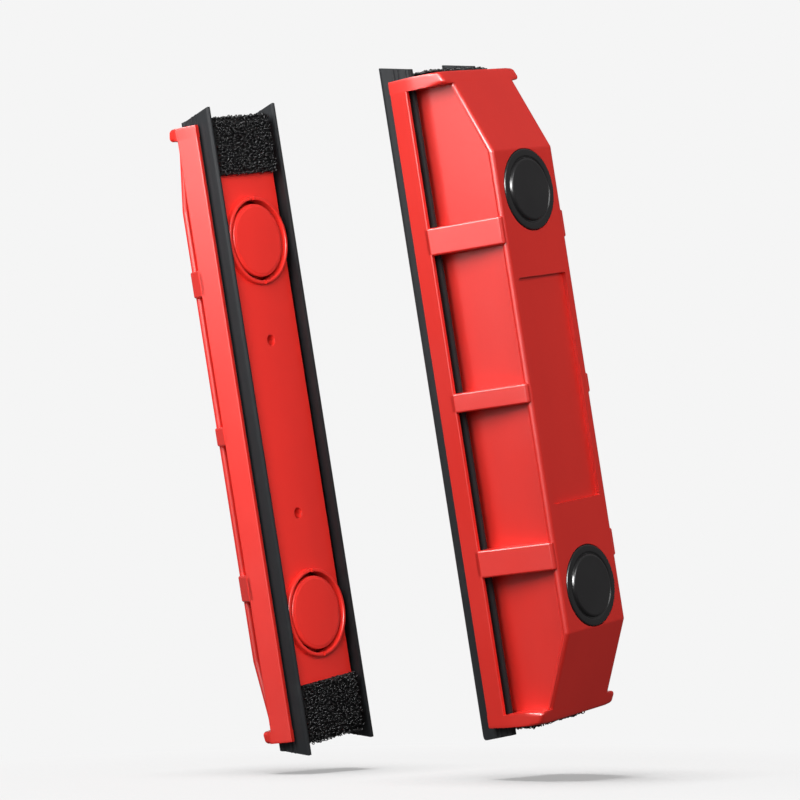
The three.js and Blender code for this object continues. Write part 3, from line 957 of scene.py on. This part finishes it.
def face_plate(half):
    """The glass-side plate with screw sockets, and a split collar round each magnet cover."""
    end = half.end - FACE_END_GAP
    outline = [
        (PLATE_FRONT, -FACE_HALF_WIDTH),
        (PLATE_BACK, -FACE_HALF_WIDTH),
        (PLATE_BACK, FACE_HALF_WIDTH),
        (PLATE_FRONT, FACE_HALF_WIDTH),
    ]
    outline = filleted(outline, [PLATE_RIM, 0, 0, PLATE_RIM])
    slab = Bodies().prism(outline, -end, end, "z", edge=0.4)
    bore, boss, back, seat = SOCKET
    inner, outer, front, slit = COLLAR
    tools = Bodies()
    for z in (half.screw_z, -half.screw_z):
        tools.turned([(0, 0), (bore, 0), (bore, seat), (0, seat)], z, 48)
    for z in (half.well_z, -half.well_z):
        tools.turned([(0, 0), (inner, 0), (inner, CUT_BACK), (0, CUT_BACK)], z)
    slab.carve(tools)
    slits = Bodies()
    notch = [(0, -slit), (SLIT_BACK, -slit), (SLIT_BACK, slit), (0, slit)]
    near, far = SLIT_REACH
    for z in (half.well_z, -half.well_z):
        slits.prism(notch, z + near, z + far, "z")
        slits.prism(notch, z - far, z - near, "z")
    slab.carve(slits)
    slab.soften(lambda a, b: max(a.x, b.x) < PLATE_FRONT + 0.02, 0.3)
    for z in (half.screw_z, -half.screw_z):
        profile = [(bore, PLATE_BACK - 0.5), (boss, PLATE_BACK - 0.5), (boss, back)]
        profile += [(SCREW_HOLE, back), (SCREW_HOLE, seat), (bore, seat)]
        slab.turned(profile, z, 48)
    root = PLATE_FRONT + 0.6
    ring = [(inner, front), (outer, front), (outer, root), (inner, root)]
    ring = filleted(ring, [0.45, 0.7, 0, 0])
    gap = math.asin(slit / ((inner + outer) / 2))
    for z in (half.well_z, -half.well_z):
        for start in (0, math.pi):
            slab.turned(ring, z, 128, start + gap, start + math.pi - gap)
    return slab


def magnet_cover(half, end):
    """A disc with a shallow step inside its rounded rim."""
    return Bodies().turned(COVER_PROFILE, end * half.well_z, 128)


def cap(half, end):
    """A plug with a broad ring round a raised, bevelled centre."""
    foot = half.own("cap_top")[0].x
    underside = half.cap_face + CAP_UNDERSIDE
    profile = [(radius, half.cap_face + rise) for radius, rise in CAP_TOP]
    profile += [(profile[-1][0], foot), (CAP_SKIRT, foot), (CAP_SKIRT, underside), (0, underside)]
    return Bodies().turned(profile, end * half.well_z, 128)


# ---------------------------------------------------------------- blades

BEAD_X = 15.5
BEAD_RADIUS = 1.7
BLADE_HALF = 0.9
BLADE_TIP = ((0.0, 0.5), (0.25, 0.36), (0.7, 0.16), (1.2, 0), (1.7, 0), (2.3, 0))  # x, taper
BLADE_RIDGES = (7.4, 9.6)
BLADE_RIDGE = ((0.0, 0.0), (0.2, 0.3), (0.42, 0.5), (0.78, 0.5), (1.0, 0.3), (1.2, 0.0))
BEAD_STEPS = 12
BLADE_STATIONS = 60
# each pair of the next three is for the lower and the upper end
BLADE_RAKE = {"grip": (1.8, 3.4), "slim": (3.4, 5.4)}  # how much longer the tip is than the bead
BLADE_CORNER = {"grip": (2.2, 0.4), "slim": (0.6, 0.4)}  # radius of the tip's corner
BLADE_SHORT = {"grip": (1.5, 0.0), "slim": (0.0, 0.0)}  # how much the whole end is cut off


def blade_outline():
    """A blade's section: a bevelled tip, two low ridges, a neck and a round bead."""
    section = [(x, BLADE_HALF - taper) for x, taper in BLADE_TIP]
    for x in BLADE_RIDGES:
        section += [(x + step, BLADE_HALF + rise) for step, rise in BLADE_RIDGE]
    start = math.asin(BLADE_HALF / BEAD_RADIUS)
    for step in range(BEAD_STEPS + 1):
        angle = start + (math.pi - start) * step / BEAD_STEPS
        x = BEAD_X - BEAD_RADIUS * math.cos(angle)
        section.append((x, BEAD_RADIUS * math.sin(angle) if step < BEAD_STEPS else 0.0))
    return section + [(x, -y) for x, y in reversed(section[:-1])]


def blade(half, side):
    """A wiper blade along its rail, with both ends cut at a rake."""
    outline = blade_outline()
    depth = BEAD_X + BEAD_RADIUS
    low, high = half.own(f"blade_{side}")
    across = (low.y + high.y) / 2
    reach = half.own("blade_left")[1].z
    rings = []
    for step in range(BLADE_STATIONS + 1):
        share = 2 * step / BLADE_STATIONS - 1
        above = share > 0
        rake = BLADE_RAKE[half.name][above]
        corner = BLADE_CORNER[half.name][above]
        short = BLADE_SHORT[half.name][above]
        at_end = max(0.0, abs(share) * BLADE_STATIONS / 2 - (BLADE_STATIONS / 2 - 1))
        ring = []
        for x, y in outline:
            dent = corner - math.sqrt(corner**2 - max(0.0, corner - x) ** 2)
            cut = (short + rake * x / depth + dent) * at_end
            ring.append((x, across + y, share * reach + (-cut if above else cut)))
        rings.append(ring)
    return Bodies().loft(rings)


# ---------------------------------------------------------------- scrub pads

PAD_SEED = 11
PAD_CORE = 1.3  # how far the woven backing lies below the pad's face
PAD_BACK = 2.7  # how far the back of the backing lies below the pad's face
PAD_MARGIN = 0.4  # the backing is this much narrower than the pad on every side
PAD_FOLD = 1.2  # how far the backing lies below the fold's own face
FOLD_BACKING = 0.35  # thickness of the backing there, over the tape
FOLD_PILE = 0.6  # the curls are shorter there
FOLD_SHORT = 1.0  # the curls stop this far from the fold's free edge
FOLD_BEND = 1.0  # how far on either side of the fold the curls lean outwards
LOOP_PITCH = 1.3
LOOP_SCATTER = 0.45  # as a share of the pitch
LOOP_HEIGHT = (1.2, 2.1)
LOOP_SPAN = (1.1, 1.7)
LOOP_DROP = (-0.1, 0.5)  # how far a curl's end lies below its start
LOOP_SWAY = 0.35
LOOP_TUBE = 0.23
LOOP_SIDES = 4
LOOP_STEPS = 7


def loop_path(random_source, height):
    """One curl of yarn that leaves the backing, bends over and comes back."""
    lean = random_source.uniform(0, 2 * math.pi)
    span = random_source.uniform(*LOOP_SPAN)
    drop = random_source.uniform(*LOOP_DROP)
    twist = random_source.uniform(-1.0, 1.0)
    path = []
    for step in range(LOOP_STEPS + 1):
        share = step / LOOP_STEPS
        angle = math.pi * share
        along = -math.cos(angle) * span * 0.5
        sideways = twist * math.sin(angle * 2) * LOOP_SWAY
        rise = height * math.sin(angle) ** 0.7 - drop * share
        across = along * math.cos(lean) - sideways * math.sin(lean)
        forward = along * math.sin(lean) + sideways * math.cos(lean)
        path.append((across, forward, rise))
    return path


def add_yarn(points, faces, path, radius):
    """A thin tube along a path, added to lists of points and faces."""
    start = len(points)
    count = len(path)
    for index, point in enumerate(path):
        here = Vector(point)
        ahead = Vector(path[min(index + 1, count - 1)]) - Vector(path[max(index - 1, 0)])
        first = ahead.orthogonal().normalized()
        second = ahead.normalized().cross(first)
        for side in range(LOOP_SIDES):
            angle = 2 * math.pi * side / LOOP_SIDES
            points.append(here + (first * math.cos(angle) + second * math.sin(angle)) * radius)
    for index in range(count - 1):
        near = start + index * LOOP_SIDES
        far = near + LOOP_SIDES
        for side in range(LOOP_SIDES):
            other = (side + 1) % LOOP_SIDES
            faces.append((near + side, near + other, far + other, far + side))
    faces.append(tuple(start + side for side in reversed(range(LOOP_SIDES))))
    last = start + (count - 1) * LOOP_SIDES
    faces.append(tuple(last + side for side in range(LOOP_SIDES)))


def pad_backing(low, high, end):
    """The woven backing that is folded over the end face."""
    back, side = high.x - PAD_MARGIN, high.z - PAD_FOLD
    folded = [
        (low.x + PAD_CORE, low.z),
        (low.x + PAD_CORE, side),
        (back, side),
        (back, side - FOLD_BACKING),
        (low.x + PAD_BACK, side - FOLD_BACKING),
        (low.x + PAD_BACK, low.z),
    ]
    outline = filleted([(x, end * z) for x, z in folded], [0.4, 1.2, 0, 0, 0, 0])
    return Bodies().prism(outline, low.y + PAD_MARGIN, high.y - PAD_MARGIN, "y", edge=0.3)


def pad_curls(low, high, end, seed):
    """The points and faces of a pile of curls, over the pad's face and its fold."""
    source = random.Random(seed)
    points, faces = [], []
    corner = Vector((low.x + PAD_CORE, 0, high.z - PAD_FOLD))
    front = corner.z - low.z
    wrap = high.x - FOLD_SHORT - corner.x
    rows = int((front + wrap) / LOOP_PITCH)
    columns = int((high.y - low.y - 1.0) / LOOP_PITCH)
    for row in range(rows):
        for column in range(columns):
            along = (row + 0.5 + source.uniform(-LOOP_SCATTER, LOOP_SCATTER)) * LOOP_PITCH
            across = (column + 0.5 + source.uniform(-LOOP_SCATTER, LOOP_SCATTER)) * LOOP_PITCH
            across += low.y + 0.7
            if along < front:
                root = Vector((corner.x, across, low.z + along))
                outward, forward = Vector((-1, 0, 0)), Vector((0, 0, 1))
            else:
                root = Vector((corner.x + along - front, across, corner.z))
                outward, forward = Vector((0, 0, 1)), Vector((1, 0, 0))
            height = source.uniform(*LOOP_HEIGHT)
            if along > front + FOLD_BEND:
                height *= FOLD_PILE
            if abs(along - front) < FOLD_BEND:
                outward = Vector((-0.7, 0, 0.7))
            path = []
            for a, b, c in loop_path(source, height):
                point = root + Vector((0, a, 0)) + forward * b + outward * c
                path.append(Vector((point.x, point.y, end * point.z)))
            add_yarn(points, faces, path, LOOP_TUBE * source.uniform(0.75, 1.25))
    return points, faces


def yarn_piece(name, half, points, faces, material):
    """The curls as a piece of their own, in metres, standing where their half stands."""
    mesh = bpy.data.meshes.new(name)
    mesh.from_pydata([tuple(point) for point in points], [], faces)
    mesh.transform(half.place @ Matrix.Scale(MM, 4))
    mesh.materials.append(material)
    mesh.polygons.foreach_set("use_smooth", [True] * len(mesh.polygons))
    piece = bpy.data.objects.new(name, mesh)
    bpy.context.scene.collection.objects.link(piece)
    return piece


# ---------------------------------------------------------------- the part

shell_red = red_plastic("shell_red", (0.82, 0.026, 0.016), (0.70, 0.018, 0.011), 0.28)
# The face plates and magnet covers get a slightly brighter red than the shell: it is painted
# lighter and stands in for the extra light that falls on the slim half's glass side.
plate_red_painted_lighter = red_plastic("plate_red_painted_lighter", (0.84, 0.030, 0.020), (0.74, 0.022, 0.015), 0.29)
blade_rubber = rubber()
black_cap = cap_plastic()
yarn = loop_yarn()
felt = pad_felt()
tape = tape_film()
magnet_nickel = nickel()
screw_zinc = zinc()


def finish_node(node, material):
    """Gives a CAD node that stays as it is its own material and small radii."""
    piece = frame["nodes"][node]
    piece.data.materials.clear()
    piece.data.materials.append(material)
    weld = piece.modifiers.new("weld", "WELD")
    weld.merge_threshold = 1e-6
    edge = piece.modifiers.new("edge_radius", "BEVEL")
    edge.limit_method = "ANGLE"
    edge.angle_limit = ROUNDED_ANGLE
    edge.width = SMALL_RADIUS * MM
    edge.segments = 2


seed = PAD_SEED
for name in HALVES:
    half = Half(name)
    shell = shell_plate(half)
    for shape in (shell_box, shell_rails, shell_ribs, shell_ends, shell_tubes):
        shell.add(shape(half).clean())
    stand_in(shell, f"{name}_shell", half, shell_red)
    stand_in(face_plate(half), f"{name}_face_plate", half, plate_red_painted_lighter)
    for side in ("left", "right"):
        stand_in(blade(half, side), f"{name}_blade_{side}", half, blade_rubber)
    for where, end in ENDS.items():
        cover = magnet_cover(half, end)
        stand_in(cover, f"{name}_magnet_cover_{where}", half, plate_red_painted_lighter)
        stand_in(cap(half, end), f"{name}_cap_{where}", half, black_cap)
        low, high = half.own("pad_top")
        core = pad_backing(low, high, end)
        points, faces = pad_curls(low, high, end, seed)
        seed += 1
        backing = stand_in(core, f"{name}_pad_{where}", half, felt)
        curls = yarn_piece(f"{name}_pad_{where}_curls", half, points, faces, yarn)
        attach(curls, frame["nodes"][f"{name}_pad_{where}"]["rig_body"])
        finish_node(f"{name}_magnet_{where}", magnet_nickel)
        finish_node(f"{name}_yoke_{where}", screw_zinc)
        finish_node(f"{name}_pad_tape_{where}", tape)
    finish_node(f"{name}_screw_upper", screw_zinc)
    finish_node(f"{name}_screw_lower", screw_zinc)

add_camera()
add_world()
add_backdrop()
plate_nodes = ("slim_face_plate", "slim_magnet_cover_top", "slim_magnet_cover_bottom")
blade_nodes = [f"{name}_blade_{side}" for name in HALVES for side in ("left", "right")]
add_lights(
    floor=add_floor(),
    plate_pieces=[bpy.data.objects[f"{node}_moulded"] for node in plate_nodes],
    shell_pieces=[bpy.data.objects["slim_shell_moulded"]],
    rubber_pieces=[bpy.data.objects[f"{node}_moulded"] for node in blade_nodes],
)

bpy.context.scene.view_settings.view_transform = "Standard"
bpy.context.scene.view_settings.look = "None"

low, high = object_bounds()
